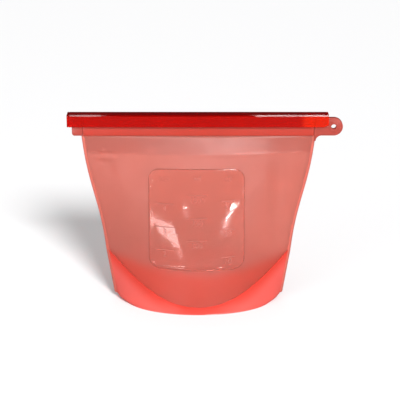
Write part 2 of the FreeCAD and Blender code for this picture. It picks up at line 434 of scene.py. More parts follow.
@dataclass(frozen=True)
class BagForm:
    """Shape of the shell: what the walls, skirts, seams and floor have in common.

    Attributes:
        top: Height of the underside of the lips.
        mouth_half: Half of the walls' width at the top.
        base_half_depth: Half of the depth of the shell on the table.
        waist: Height where the base meets the side seams.
        waist_half: Half of the walls' width at the waist.
        foot_half: Half of the walls' width at the lower corners of the seams.
        standing_half: Half of the length of the oval that the shell stands on.
        ear: Height of the lower corners of the seams.
        sway: How much the sides curve, as a part of their flare.
        seam_width: Width of the flat side seams.
        shoulder: Height of the crease under the lips.
        shoulder_half_depth: Half of the depth at that crease.
        lip_half_depth: Half of the depth of both lips together.
        bulge: How far each wall swells out half way up.
        low_arc: Lowest point of the seam between wall and base.
        edge: Half of the depth of the shell along its side edges.
        gap: Distance from the inner edge of a wall to the plane Y = 0.
        floor_power: Exponent of the plan curve on the table; 0.5 is an ellipse.
        wall_power: Exponent of the plan curve of the upper walls; 1 is a parabola.
        power_fade: Height over which the plan changes from one to the other.
        pan_seen: Heights between which the pan, and with it its painted glow on the wall, fades from view,
            in the middle of a wall.
        pan_rise: How much higher those are at the sides.
        glow_fade: How far the painted glow near the base seam reaches down the skirts.
        bow_full: Height, as a share of the wall's, above which it follows the mouth fully.
        bow_power: Exponent of how that falls off to the sides.
    """

    top: float
    mouth_half: float
    base_half_depth: float
    waist: float = 43.0 * MM
    waist_half: float = 75.5 * MM
    foot_half: float = 69.3 * MM
    standing_half: float = 62.0 * MM
    ear: float = 4.6 * MM
    sway: float = 0.06
    seam_width: float = 2.5 * MM
    shoulder: float = 131.0 * MM
    shoulder_half_depth: float = 9.3 * MM
    lip_half_depth: float = 2.1 * MM
    bulge: float = 3.6 * MM
    low_arc: float = 5.5 * MM
    edge: float = 1.2 * MM
    gap: float = 0.15 * MM
    floor_power: float = 0.5
    wall_power: float = 1.1
    power_fade: float = 10 * MM
    pan_seen: Pair = (27 * MM, 41 * MM)
    pan_rise: float = 9 * MM
    glow_fade: float = 14 * MM
    bow_full: float = 0.45
    bow_power: float = 1.5

    def half_width(self, z: float) -> float:
        """Half of the width of the walls at height z, inside the side seams.

        Args:
            z: Height.

        Returns:
            Half of the width.
        """
        if z >= self.waist:
            share = (z - self.waist) / (self.top - self.waist)
            share -= self.sway * math.sin(2 * math.pi * share)
            return mix(self.waist_half, self.mouth_half, share)
        if z >= self.ear:
            return mix(self.foot_half, self.waist_half, (z - self.ear) / (self.waist - self.ear))
        return mix(self.standing_half, self.foot_half, math.sin(math.pi / 2 * max(0.0, z) / self.ear))

    def half_depth(self, z: float) -> float:
        """Distance from the plane Y = 0 to the outside of a wall at height z, in the middle.

        Args:
            z: Height.

        Returns:
            The distance.
        """
        if z >= self.shoulder:
            share = (z - self.shoulder) / (self.top - self.shoulder)
            return mix(self.shoulder_half_depth, self.lip_half_depth, share)
        share = z / self.shoulder
        straight = mix(self.base_half_depth, self.shoulder_half_depth, share)
        return straight + self.bulge * math.sin(math.pi * share)

    def exponent(self, z: float) -> float:
        """Exponent of the wall's plan curve at height z."""
        return mix(self.wall_power, self.floor_power, math.exp(-z / self.power_fade))

    def arc(self, x: float) -> float:
        """Height of the seam between a wall and the base at x."""
        return mix(self.low_arc, self.waist, (x / self.waist_half) ** 2)

    def arc_on_column(self, share: float) -> float:
        """Height where a column of the wall, at a share of its half width, meets that seam.

        Args:
            share: Place of the column, from -1 at the left edge to 1 at the right edge.

        Returns:
            The height.
        """
        z = self.arc(self.waist_half * share)
        for _ in range(6):
            z = self.arc(self.half_width(z) * share)
        return z

    def depth(self, share: float, z: float, inset: float = 0.0) -> float:
        """Distance from the plane Y = 0 to a wall's surface.

        Args:
            share: Place along the mouth, as a share of the surface's half width there.
            z: Height.
            inset: Distance from the outside of the wall to the surface.

        Returns:
            The distance, before any unevenness is added.
        """
        bow = max(0.0, 1 - share * share) ** self.exponent(z)
        edge = self.edge if inset == 0.0 else self.gap
        return mix(edge, self.half_depth(z) - inset, bow)

    def depth_at(self, x: float, z: float) -> float:
        """Distance from the plane Y = 0 to the outside of a wall at x and z."""
        return self.depth(min(1.0, abs(x) / self.half_width(z)), z)

    def over_pan(self, x: float, z: float) -> float:
        """Whether the pan lies behind a place of a wall: 1 is fully and 0 is not."""
        rise = self.pan_rise * (x / self.waist_half) ** 2
        return 1 - smooth_step(z, self.pan_seen[0] + rise, self.pan_seen[1] + rise)

    def near_arc(self, x: float, z: float) -> float:
        """How close a place of a skirt is to the seam with the wall: 1 is on it and 0 is far."""
        return smooth_step(z, self.arc(x) - self.glow_fade, self.arc(x))

    def follow(self, x: float, z: float) -> float:
        """How far a point of a wall goes with the opening mouth: 1 is all the way and 0 is not at all.

        Args:
            x: Place along the mouth.
            z: Height.

        Returns:
            The share of the wall's motion that the point has.
        """
        share = min(1.0, abs(x) / self.half_width(min(z, self.top)))
        low = self.arc(min(abs(x), self.waist_half))
        rise = smooth_step(z, low, mix(low, self.top, self.bow_full))
        return (1 - share * share) ** self.bow_power * rise


@dataclass(frozen=True, kw_only=True)
class Unevenness:
    """Soft waves, dents and creases of a silicone wall that stands by itself.

    Attributes:
        wave: Height of the broad waves.
        dent: Depth of the upright hollow beside the seam.
        crinkle: Height of the small creases in the upper left corner.
        welt: Height of the raised line along the shoulder.
        phase: Shifts the waves, so that the two walls differ.
        quiet_side: Share of the half width, from the sides, over which the waves set in.
        quiet_low: The same above the base seam, as a height.
        quiet_high: The same below the lips.
        welt_reach: Half of the height of the raised line.
        hollow: Middle and reach of the hollow.
        folds: Middle, reach and relative height of each crease.
    """

    wave: float
    dent: float
    crinkle: float
    welt: float
    phase: float
    quiet_side: float = 0.22
    quiet_low: float = 22 * MM
    quiet_high: float = 9 * MM
    welt_reach: float = 0.9 * MM
    hollow: tuple[Pair, Pair] = ((66 * MM, 98 * MM), (7 * MM, 34 * MM))
    folds: tuple[tuple[Pair, Pair, float], ...] = (
        ((-80 * MM, 133 * MM), (2.6 * MM, 1.4 * MM), 1.0),
        ((-72 * MM, 130.5 * MM), (6.5 * MM, 1.3 * MM), -0.9),
        ((-76 * MM, 127 * MM), (8 * MM, 1.6 * MM), 0.7),
        ((-79 * MM, 123 * MM), (4 * MM, 2.2 * MM), -0.6),
        ((-73 * MM, 117 * MM), (4.5 * MM, 7 * MM), -0.8),
    )

    def height(self, form: BagForm, x: float, z: float) -> float:
        """How far the wall stands out from its plain shape.

        Args:
            form: Shape of the shell.
            x: Place along the mouth.
            z: Height.

        Returns:
            The distance, outwards.
        """
        share = min(1.0, abs(x) / form.half_width(z))
        sides = smooth_step(1 - share, 0.0, self.quiet_side)
        low = smooth_step(z, form.arc(x), form.arc(x) + self.quiet_low)
        high = smooth_step(form.top - z, 0.0, self.quiet_high)
        waves = math.sin(x / (17 * MM) + self.phase) * math.sin(z / (21 * MM) + 0.6 * self.phase)
        waves += 0.6 * math.sin(x / (29 * MM) - 1.3 * z / (24 * MM) + self.phase)
        body = (self.wave * waves - self.dent * hump(x, z, *self.hollow)) * sides * low * high
        creases = 0.0
        for centre, reach, size in self.folds:
            creases += size * hump(x, z, centre, reach)
        line = math.exp(-(((z - form.shoulder) / self.welt_reach) ** 2))
        line *= smooth_step(1 - share, 0.02, 0.08)
        return body + self.crinkle * creases + self.welt * line


# Finishes


def node_group(
    name: str, inputs: dict[str, Colour | float], outputs: dict[str, str]
) -> tuple[Tree, Node, Node]:
    """Start an empty shader node group with named sockets.

    Args:
        name: Name of the group.
        inputs: Default value by input name; a tuple makes a colour and a number a float.
        outputs: Socket type by output name.

    Returns:
        The group's node tree, its input node and its output node.
    """
    tree = bpy.data.node_groups.new(name, "ShaderNodeTree")
    for label, value in inputs.items():
        kind = "NodeSocketColor" if isinstance(value, tuple) else "NodeSocketFloat"
        tree.interface.new_socket(label, in_out="INPUT", socket_type=kind).default_value = value
    for label, kind in outputs.items():
        tree.interface.new_socket(label, in_out="OUTPUT", socket_type=kind)
    return tree, tree.nodes.new("NodeGroupInput"), tree.nodes.new("NodeGroupOutput")


def set_input(tree: Tree, socket: Socket, value: Socket | Colour | float) -> None:
    """Link another socket to an input, or give the input a value of its own.

    Args:
        tree: The node tree.
        socket: The input.
        value: The other socket, or the value.
    """
    if isinstance(value, Socket):
        tree.links.new(value, socket)
    else:
        socket.default_value = value


def object_place(tree: Tree) -> Socket:
    """Add a node that gives the place on the piece, and return its output."""
    return tree.nodes.new("ShaderNodeTexCoord").outputs["Object"]


def add_noise(tree: Tree, place: Socket, scale: float, detail: float, rough: float = 0.5) -> Socket:
    """Add a noise texture to a tree.

    Args:
        tree: The node tree.
        place: Socket that gives the place.
        scale: Waves in a metre.
        detail: Number of finer layers.
        rough: Strength of the finer layers.

    Returns:
        The noise, as a value between 0 and 1.
    """
    noise = tree.nodes.new("ShaderNodeTexNoise")
    for label, value in (("Vector", place), ("Scale", scale), ("Detail", detail), ("Roughness", rough)):
        set_input(tree, noise.inputs[label], value)
    return noise.outputs["Fac"]


def add_range(tree: Tree, value: Socket, source: Pair, result: Pair = (0.0, 1.0)) -> Socket:
    """Add a node that maps a value from one range to another.

    Args:
        tree: The node tree.
        value: Socket that gives the value.
        source: Range that it comes from.
        result: Range that it is mapped to.

    Returns:
        The mapped value.
    """
    node = tree.nodes.new("ShaderNodeMapRange")
    node.inputs["From Min"].default_value, node.inputs["From Max"].default_value = source
    node.inputs["To Min"].default_value, node.inputs["To Max"].default_value = result
    tree.links.new(value, node.inputs["Value"])
    return node.outputs["Result"]


def add_math(tree: Tree, operation: str, *values: Socket | float) -> Socket:
    """Add a math node on sockets or numbers.

    Args:
        tree: The node tree.
        operation: Kind of the math node.
        *values: Its inputs in order.

    Returns:
        The outcome.
    """
    node = tree.nodes.new("ShaderNodeMath")
    node.operation = operation
    for socket, value in zip(node.inputs, values):
        set_input(tree, socket, value)
    return node.outputs["Value"]


def add_mix(tree: Tree, factor: Socket, first: Socket | Colour, second: Socket | Colour) -> Socket:
    """Add a colour mix node on sockets or colours.

    Args:
        tree: The node tree.
        factor: Share of the second colour.
        first: First colour.
        second: Second colour.

    Returns:
        The mixed colour.
    """
    node = tree.nodes.new("ShaderNodeMix")
    node.data_type = "RGBA"
    for index, value in ((0, factor), (6, first), (7, second)):
        set_input(tree, node.inputs[index], value)
    return node.outputs[2]


def add_group(tree: Tree, group: Tree, **values: Socket | Colour | float) -> Node:
    """Place a node group in a material and set its inputs.

    Args:
        tree: Node tree of the material.
        group: The node group.
        **values: Input values, with underscores for the spaces in their names.

    Returns:
        The group node.
    """
    node = tree.nodes.new("ShaderNodeGroup")
    node.node_tree = group
    for name, value in values.items():
        set_input(tree, node.inputs[name.replace("_", " ")], value)
    return node


class SharedEffects:
    """Node groups that more than one finish uses."""

    def __init__(self) -> None:
        """Build each group once."""
        self.pigment = self.build_pigment()
        self.grain = self.build_grain()
        self.dust = self.build_dust()

    def build_pigment(self) -> Tree:
        """Cloudy difference of tint, as where silicone is thicker or holds more pigment.

        Returns:
            The node group.
        """
        tree, given, result = node_group(
            "pigment_clouds",
            {"Tint": (0.8, 0.2, 0.15, 1.0), "Deep Tint": (0.7, 0.1, 0.07, 1.0), "Amount": 0.5},
            {"Colour": "NodeSocketColor"},
        )
        place = object_place(tree)
        broad = add_noise(tree, place, 22.0, 2.0)
        fine = add_noise(tree, place, 140.0, 3.0, 0.6)
        clouds = add_math(tree, "MULTIPLY_ADD", fine, 0.3, broad)
        spread = add_range(tree, clouds, (0.45, 0.85))
        share = add_math(tree, "MULTIPLY", spread, given.outputs["Amount"])
        colour = add_mix(tree, share, given.outputs["Tint"], given.outputs["Deep Tint"])
        tree.links.new(colour, result.inputs["Colour"])
        return tree

    def build_grain(self) -> Tree:
        """Fine surface of a mould: a height for bump, and the roughness that goes with it.

        Returns:
            The node group.
        """
        tree, given, result = node_group(
            "mould_grain",
            {"Grain": 1.0, "Ripple": 0.2, "Roughness": 0.4, "Roughness Spread": 0.1},
            {"Height": "NodeSocketFloat", "Roughness": "NodeSocketFloat"},
        )
        place = object_place(tree)
        fine = add_noise(tree, place, 900.0, 1.0)
        ripple = add_noise(tree, place, 120.0, 2.0)
        smudge = add_noise(tree, place, 45.0, 1.0)
        high = add_math(tree, "MULTIPLY", fine, given.outputs["Grain"])
        low = add_math(tree, "MULTIPLY", ripple, given.outputs["Ripple"])
        height = add_math(tree, "ADD", high, low)
        swing = add_range(tree, smudge, (0.3, 0.7), (-1.0, 1.0))
        change = add_math(tree, "MULTIPLY", swing, given.outputs["Roughness Spread"])
        rough = add_math(tree, "ADD", given.outputs["Roughness"], change)
        rough.node.use_clamp = True
        tree.links.new(height, result.inputs["Height"])
        tree.links.new(rough, result.inputs["Roughness"])
        return tree

    def build_dust(self) -> Tree:
        """Sparse pale specks of lint that cling to silicone.

        Returns:
            The node group.
        """
        tree, given, result = node_group(
            "lint_specks",
            {"Colour": (0.8, 0.2, 0.15, 1.0), "Amount": 0.5},
            {"Colour": "NodeSocketColor"},
        )
        place = object_place(tree)
        cells = tree.nodes.new("ShaderNodeTexVoronoi")
        cells.inputs["Scale"].default_value = 130.0
        tree.links.new(place, cells.inputs["Vector"])
        dots = add_range(tree, cells.outputs["Distance"], (0.02, 0.04), (1.0, 0.0))
        some = add_range(tree, add_noise(tree, place, 60.0, 1.0), (0.62, 0.68))
        mask = add_math(tree, "MULTIPLY", dots, some)
        share = add_math(tree, "MULTIPLY", mask, given.outputs["Amount"])
        pale = add_mix(tree, share, given.outputs["Colour"], (0.95, 0.75, 0.72, 1.0))
        tree.links.new(pale, result.inputs["Colour"])
        return tree


@dataclass(frozen=True, kw_only=True)
class Finish(ABC):
    """Tinted material that lets some light through, with a moulded surface.

    Attributes:
        name: Name of the material.
        tint: Colour where the material is thin.
        deep_tint: Colour where it is denser; silicone also darkens to it as a painted shade above
            shade_above.
        clear: Part of the light that goes through instead of scattering back.
        ior: Index of refraction.
        roughness: Roughness of its surface.
        roughness_spread: How much the roughness differs from place to place.
        grain: Height of the finest texture.
        ripple: Height of the broader unevenness.
        relief: Full height of the bump.
        clouds: Strength of the cloudy difference of tint.
    """

    name: str
    tint: Colour
    deep_tint: Colour
    clear: float
    ior: float = 1.41
    roughness: float = 0.36
    roughness_spread: float = 0.06
    grain: float = 0.2
    ripple: float = 0.6
    relief: float = 0.06 * MM
    clouds: float = 0.6

    @abstractmethod
    def colour(self, tree: Tree, effects: SharedEffects, pigment: Socket, place: Node) -> None:
        """Give the material its colour.

        Args:
            tree: Node tree of the material.
            effects: The shared node groups.
            pigment: The clouded tint.
            place: Node that gives X, Y and Z of the place on the piece.
        """

    def build(self, effects: SharedEffects) -> bpy.types.Material:
        """Make the material.

        Args:
            effects: The shared node groups.

        Returns:
            The material.
        """
        material = bpy.data.materials.new(self.name)
        material.use_nodes = True
        tree = material.node_tree
        body = tree.nodes["Principled BSDF"]
        pigment = add_group(
            tree, effects.pigment, Tint=self.tint, Deep_Tint=self.deep_tint, Amount=self.clouds
        )
        grain = add_group(
            tree,
            effects.grain,
            Grain=self.grain,
            Ripple=self.ripple,
            Roughness=self.roughness,
            Roughness_Spread=self.roughness_spread,
        )
        bump = tree.nodes.new("ShaderNodeBump")
        bump.inputs["Strength"].default_value = 1.0
        bump.inputs["Distance"].default_value = self.relief
        tree.links.new(grain.outputs["Height"], bump.inputs["Height"])
        tree.links.new(bump.outputs["Normal"], body.inputs["Normal"])
        tree.links.new(grain.outputs["Roughness"], body.inputs["Roughness"])
        place = tree.nodes.new("ShaderNodeSeparateXYZ")
        tree.links.new(object_place(tree), place.inputs["Vector"])
        self.colour(tree, effects, pigment.outputs["Colour"], place)
        body.inputs["IOR"].default_value = self.ior
        body.inputs["Transmission Weight"].default_value = self.clear
        return material


@dataclass(frozen=True, kw_only=True)
class SiliconeFinish(Finish):
    """Translucent silicone, frosted or polished.

    Attributes:
        shade_above: Height above which the tint darkens, a painted shade on the band under the lips.
        lint: Strength of the pale specks.
        base_glow_tint: Colour near the base seam, a painted glow that stands in for the red light coming
            through the base, where the piece carries the attribute BASE_GLOW_TINT.
        glow: Painted glow, emitted as a part of white, that stands in for light which spreads inside the
            silicone and leaves it.
    """

    shade_above: float = 1.0
    lint: float = 0.2
    base_glow_tint: Colour | None = None
    glow: float = 0.0

    def colour(self, tree: Tree, effects: SharedEffects, pigment: Socket, place: Node) -> None:
        """Give the silicone its tints and lint, its painted shade under the lips and its painted glow.

        Args:
            tree: Node tree of the material.
            effects: The shared node groups.
            pigment: The clouded tint.
            place: Node that gives X, Y and Z of the place on the piece.
        """
        # Painted shade: above a height the tint darkens to the deep tint, on the band under the lips.
        blur = 1 * MM
        shoulder_shade = add_range(tree, place.outputs["Z"], (self.shade_above - blur, self.shade_above + blur))
        tint = add_mix(tree, shoulder_shade, pigment, self.deep_tint)
        # Painted glow: near the base the tint turns redder, standing in for the light that comes through
        # the red base.
        if self.base_glow_tint is not None:
            glow_share = tree.nodes.new("ShaderNodeAttribute")
            glow_share.attribute_name = BASE_GLOW_TINT
            tint = add_mix(tree, glow_share.outputs["Fac"], tint, self.base_glow_tint)
        dust = add_group(tree, effects.dust, Colour=tint, Amount=self.lint)
        body = tree.nodes["Principled BSDF"]
        # Painted glow: the colour is also emitted, at the strength glow, though the silicone is no lamp.
        for label in ("Base Color", "Emission Color"):
            tree.links.new(dust.outputs["Colour"], body.inputs[label])
        body.inputs["Emission Strength"].default_value = self.glow


@dataclass(frozen=True, kw_only=True)
class PlasticFinish(Finish):
    """Clear tinted plastic with a polished surface.

    Attributes:
        top_shade_tint: Colour of its top, a painted shade darker than its front.
        crown: Height where that begins and height where it is full.
        end_tint: Colour of its open end, which light enters from the side.
        end: X where that begins and X where it is full.
    """

    top_shade_tint: Colour
    crown: Pair
    end_tint: Colour
    end: Pair

    def colour(self, tree: Tree, effects: SharedEffects, pigment: Socket, place: Node) -> None:
        """Give the plastic its tint, the painted shade of its top and the painted light of its lit end.

        Args:
            tree: Node tree of the material.
            effects: The shared node groups, of which the plastic needs no more here.
            pigment: The clouded tint.
            place: Node that gives X, Y and Z of the place on the piece.
        """
        # Painted shade: the top turns dark; painted light: the open end turns a brighter orange.
        high = add_range(tree, place.outputs["Z"], self.crown)
        lit_end = add_range(tree, place.outputs["X"], self.end)
        tint = add_mix(tree, high, add_mix(tree, lit_end, pigment, self.end_tint), self.top_shade_tint)
        tree.links.new(tint, tree.nodes["Principled BSDF"].inputs["Base Color"])


# Painted glow on the walls where the red base lies behind them.
OVER_PAN_GLOW_TINT = (0.92, 0.25, 0.175, 1.0)
FROSTED = SiliconeFinish(
    name="frosted_silicone",
    tint=(0.89, 0.39, 0.32, 1.0),
    deep_tint=(0.76, 0.29, 0.23, 1.0),
    clear=0.85,
    # Painted shade: darker tint above the shoulder crease.
    shade_above=131 * MM,
    roughness=0.42,
    clouds=0.4,
    lint=0.3,
    base_glow_tint=OVER_PAN_GLOW_TINT,
)
POLISHED = SiliconeFinish(
    name="polished_silicone",
    tint=(0.89, 0.39, 0.32, 1.0),
    deep_tint=(0.83, 0.34, 0.275, 1.0),
    clear=0.85,
    roughness=0.08,
    roughness_spread=0.03,
    grain=0.04,
    ripple=1.0,
    relief=0.10 * MM,
    clouds=0.4,
    lint=0.0,
    base_glow_tint=OVER_PAN_GLOW_TINT,
)
RAISED_MARK = SiliconeFinish(
    name="raised_mark_silicone",
    tint=(0.74, 0.24, 0.19, 1.0),
    deep_tint=(0.70, 0.21, 0.165, 1.0),
    clear=0.55,
    roughness=0.22,
    roughness_spread=0.05,
    ripple=0.5,
    relief=0.04 * MM,
    clouds=0.5,
    lint=0.0,
)
WELDED = SiliconeFinish(
    name="welded_silicone",
    tint=(0.90, 0.145, 0.120, 1.0),
    deep_tint=(0.85, 0.120, 0.098, 1.0),
    clear=0.42,
    # Painted glow: a deeper red on the skirts towards the seam with the wall.
    base_glow_tint=(0.82, 0.062, 0.038, 1.0),
)
SEAM = SiliconeFinish(
    name="seam_silicone",
    tint=(0.80, 0.20, 0.15, 1.0),
    deep_tint=(0.76, 0.17, 0.125, 1.0),
    clear=0.7,
    roughness=0.34,
)
PAN = SiliconeFinish(
    name="base_pan_silicone",
    tint=(1.00, 0.09, 0.055, 1.0),
    deep_tint=(0.95, 0.065, 0.040, 1.0),
    clear=0.15,
    lint=0.0,
    # Painted glow of the pan, which is lit only through the walls.
    glow=0.05,
)
LIP = SiliconeFinish(
    name="lip_silicone",
    tint=(0.68, 0.070, 0.042, 1.0),
    deep_tint=(0.63, 0.055, 0.032, 1.0),
    clear=0.5,
    lint=0.3,
)
THICK = SiliconeFinish(
    name="thick_silicone",
    tint=(0.52, 0.080, 0.058, 1.0),
    deep_tint=(0.48, 0.066, 0.047, 1.0),
    clear=0.5,
)
BAR = PlasticFinish(
    name="clear_red_plastic",
    tint=(0.74, 0.006, 0.001, 1.0),
    deep_tint=(0.64, 0.003, 0.001, 1.0),
    # Painted shade on the top of the bar; painted light at its open end.
    top_shade_tint=(0.30, 0.001, 0.001, 1.0),
    crown=(162.6 * MM, 163.9 * MM),
    end_tint=(1.00, 0.030, 0.003, 1.0),
    end=(84.0 * MM, 88.0 * MM),
    clear=0.7,
    ior=1.49,
    roughness=0.06,
    roughness_spread=0.03,
    grain=0.15,
    ripple=1.0,
    relief=0.01 * MM,
)


class Finishes:
    """Every material of the bag, made once and given to pieces by finish."""

    def __init__(self) -> None:
        """Build the shared node groups, then each material."""
        effects = SharedEffects()
        used = (FROSTED, POLISHED, RAISED_MARK, WELDED, SEAM, PAN, LIP, THICK, BAR)
        self.made = {finish: finish.build(effects) for finish in used}

    def dress(self, piece: Piece, finish: Finish, slot: str) -> None:
        """Finish a piece's mesh, and give it its material.

        Args:
            piece: The piece.
            finish: Finish of the piece.
            slot: Not used.
        """
        finish_mesh(piece, flat=isinstance(finish, PlasticFinish))
        piece.data.materials.clear()
        piece.data.materials.append(self.made[finish])


# Sub-assemblies


def paint_base_glow(piece: Piece, share: Callable[[float, float], float]) -> None:
    """Mark how strongly a piece takes the painted glow of the red base.

    Args:
        piece: The piece, with its final mesh.
        share: Strength at X and Z, between 0 and 1.
    """
    marks = piece.data.attributes.new(BASE_GLOW_TINT, "FLOAT", "POINT")
    marks.data.foreach_set("value", [share(vertex.co.x, vertex.co.z) for vertex in piece.data.vertices])


def open_with(piece: Piece, form: BagForm) -> None:
    """Put a piece's place into its mesh, and work out how far each of its points follows the opening mouth.

    Args:
        piece: The piece, with its final mesh.
        form: Shape of the shell.
    """
    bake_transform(piece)
    shares = [form.follow(vertex.co.x, vertex.co.z) for vertex in piece.data.vertices]


class SubAssembly(ABC):
    """Pieces that are built and dressed together."""

    @abstractmethod
    def build(self) -> None:
        """Build the meshes of the pieces."""

    @abstractmethod
    def dress(self, finishes: Finishes) -> tuple[Piece, ...]:
        """Finish the pieces, and attach some of them to their bodies.

        Args:
            finishes: Every material of the bag.

        Returns:
            The finished pieces.
        """


@dataclass
class WallPanel:
    """Upper part of the front or back wall, above the seam with the base.

    Attributes:
        form: Shape of the shell.
        wall: Which wall it is.
        unevenness: Waves and dents of the wall.
        thickness: Thickness of the silicone.
        columns: Faces along the mouth.
        rows: Faces from the base seam to the lips.
        shoulder_share: Share of the rows that lie below the shoulder.
        tuck: How far the top edge is drawn in under the lips.
        tuck_height: Height over which it is drawn in.
    """

    form: BagForm
    wall: Wall
    unevenness: Unevenness
    thickness: float = 1.2 * MM
    columns: int = 140
    rows: int = 96
    shoulder_share: float = 0.8125
    tuck: float = 0.5 * MM
    tuck_height: float = 1.6 * MM

    def surface(self, u: float, v: float, inset: float) -> Vector:
        """Place on the wall.

        Args:
            u: From 0 at the left edge to 1 at the right edge, seen from outside.
            v: From 0 at the base seam to 1 at the lips.
            inset: Distance from the outside of the wall.

        Returns:
            The place.
        """
        form = self.form
        share = math.sin(math.pi * (u - 0.5))
        low = form.arc_on_column(share)
        if v < self.shoulder_share:
            z = mix(low, form.shoulder, v / self.shoulder_share)
        else:
            z = mix(form.shoulder, form.top, (v - self.shoulder_share) / (1 - self.shoulder_share))
        x = share * (form.half_width(z) - 0.5 * inset) * -self.wall.value
        depth = form.depth(share, z, inset)
        tuck = self.tuck * smooth_step(z, form.top - self.tuck_height, form.top)
        wave = self.unevenness.height(form, x, z)
        return Vector((x, self.wall.value * (depth + wave - tuck), z))

    def build(self, name: str) -> Piece:
        """Build the panel.

        Args:
            name: Name of the piece.

        Returns:
            The piece.
        """
        return closed_sheet(
            name,
            self.columns,
            self.rows,
            lambda u, v: self.surface(u, v, 0.0),
            lambda u, v: self.surface(u, v, self.thickness),
        )


@dataclass
class MeasuringWindow:
    """Polished window with a raised frame.

    Attributes:
        form: Shape of the shell.
        unevenness: Waves of the wall around it.
        left: Left edge.
        right: Right edge.
        bottom: Lower edge.
        top: Upper edge.
        corner: Radius of its corners.
        around: Points around its outline.
        rings: Rings of faces inside the frame.
        thickness: Thickness of the silicone.
        recess: How far the pane stands out of the wall.
        overlap: How far the frame reaches over the wall's opening.
        ripple_start: Share of the way to the middle over which the pane's waviness sets in.
        section: Distance from the edge, and how far the frame stands out there.
    """

    form: BagForm
    unevenness: Unevenness
    left: float
    right: float
    bottom: float
    top: float
    corner: float = 9.0 * MM
    around: int = 144
    rings: int = 26
    thickness: float = 1.2 * MM
    recess: float = 0.2 * MM
    overlap: float = 0.7 * MM
    ripple_start: float = 0.12
    section: tuple[Pair, ...] = (
        (0.0, -0.25 * MM),
        (0.12 * MM, 0.06 * MM),
        (0.4 * MM, 0.26 * MM),
        (0.9 * MM, 0.42 * MM),
        (1.8 * MM, 0.45 * MM),
        (2.4 * MM, 0.38 * MM),
        (2.9 * MM, 0.26 * MM),
        (3.3 * MM, 0.2 * MM),
    )

    def outline(self, inset: float) -> list[Pair]:
        """Points of the rounded outline.

        Args:
            inset: Distance from the window's edge to the outline.

        Returns:
            X and Z of each point, counterclockwise as seen from the front.
        """
        low_x, high_x = self.left + self.corner, self.right - self.corner
        low_z, high_z = self.bottom + self.corner, self.top - self.corner
        corners = ((high_x, high_z), (low_x, high_z), (low_x, low_z), (high_x, low_z))
        bends = self.around // 12
        runs = (self.around - 4 * bends) // 4
        turns = [
            turn_about(corner, self.corner - inset, 90.0 * index, 90.0 * (index + 1), bends)
            for index, corner in enumerate(corners)
        ]
        points = []
        for turn, after in zip(turns, turns[1:] + turns[:1]):
            points.extend(turn)
            end, goal = turn[-1], after[0]
            for step in range(1, runs):
                share = step / runs
                points.append((mix(end[0], goal[0], share), mix(end[1], goal[1], share)))
        return points

    def skin(self, x: float, z: float, proud: float) -> Vector:
        """Place on the window at x and z, standing out of the wall by proud."""
        wave = self.unevenness.height(self.form, x, z)
        return Vector((x, -(self.form.depth_at(x, z) + wave + proud), z))

    def pane_wave(self, x: float, z: float) -> float:
        """Slight waviness of the polished pane, which bends what it mirrors.

        Args:
            x: Place along the mouth.
            z: Height.

        Returns:
            How far the pane stands out for it.
        """
        dome = math.sin((x - self.left) / (13 * MM) + 0.9) * math.sin((z - self.bottom) / (15 * MM))
        swell = math.sin((x + 0.7 * z) / (19 * MM))
        return (0.10 * dome + 0.12 * swell) * MM

    def build(self) -> Piece:
        """Build the window with its frame.

        Returns:
            The closed piece.
        """
        mesh = bmesh.new()
        loops = []
        for inset, proud in self.section:
            loops.append([mesh.verts.new(self.skin(x, z, proud)) for x, z in self.outline(inset)])
        edge = self.outline(self.section[-1][0])
        middle = (self.left + self.right) / 2, (self.bottom + self.top) / 2
        for ring in range(1, self.rings):
            share = ring / self.rings
            loop = []
            for x, z in edge:
                px, pz = mix(x, middle[0], share), mix(z, middle[1], share)
                wave = self.pane_wave(px, pz) * smooth_step(share, 0.0, self.ripple_start)
                loop.append(mesh.verts.new(self.skin(px, pz, self.recess + wave)))
            loops.append(loop)
        pole = mesh.verts.new(self.skin(*middle, self.recess + self.pane_wave(*middle)))
        for i in range(len(edge)):
            k = (i + 1) % len(edge)
            for outer, inner in zip(loops, loops[1:]):
                mesh.faces.new((outer[i], outer[k], inner[k], inner[i]))
            mesh.faces.new((loops[-1][i], loops[-1][k], pole))
        piece = add_mesh("window_pane", mesh)
        apply_modifier(piece, "SOLIDIFY", thickness=self.thickness, offset=-1.0)
        return piece

    def opening(self) -> Piece:
        """Closed slab that cuts the opening for the window out of the wall.

        Returns:
            The slab, a little smaller than the window.
        """
        inset = self.overlap
        low = Vector((self.left + inset, -80 * MM, self.bottom + inset))
        high = Vector((self.right - inset, -4 * MM, self.top - inset))
        slab = block("window_opening", low, high)
        select_edges(slab, lambda a, b: abs(a.y - b.y) > 1 * MM)
        bpy.ops.mesh.bevel(offset=self.corner - inset, segments=12, affect="EDGES")
        leave_edit()
        return slab


@dataclass(frozen=True)
class Scale:
    """One column of marks on the window.

    Attributes:
        unit: Name of the unit, over the column.
        x: Middle of the column.
        line: Length of its lines.
        highest: Height of its highest mark.
        lowest: Height of its lowest mark.
        figures: Figure of each mark, from the highest down.
    """

    unit: str
    x: float
    line: float
    highest: float
    lowest: float
    figures: tuple[str, ...]


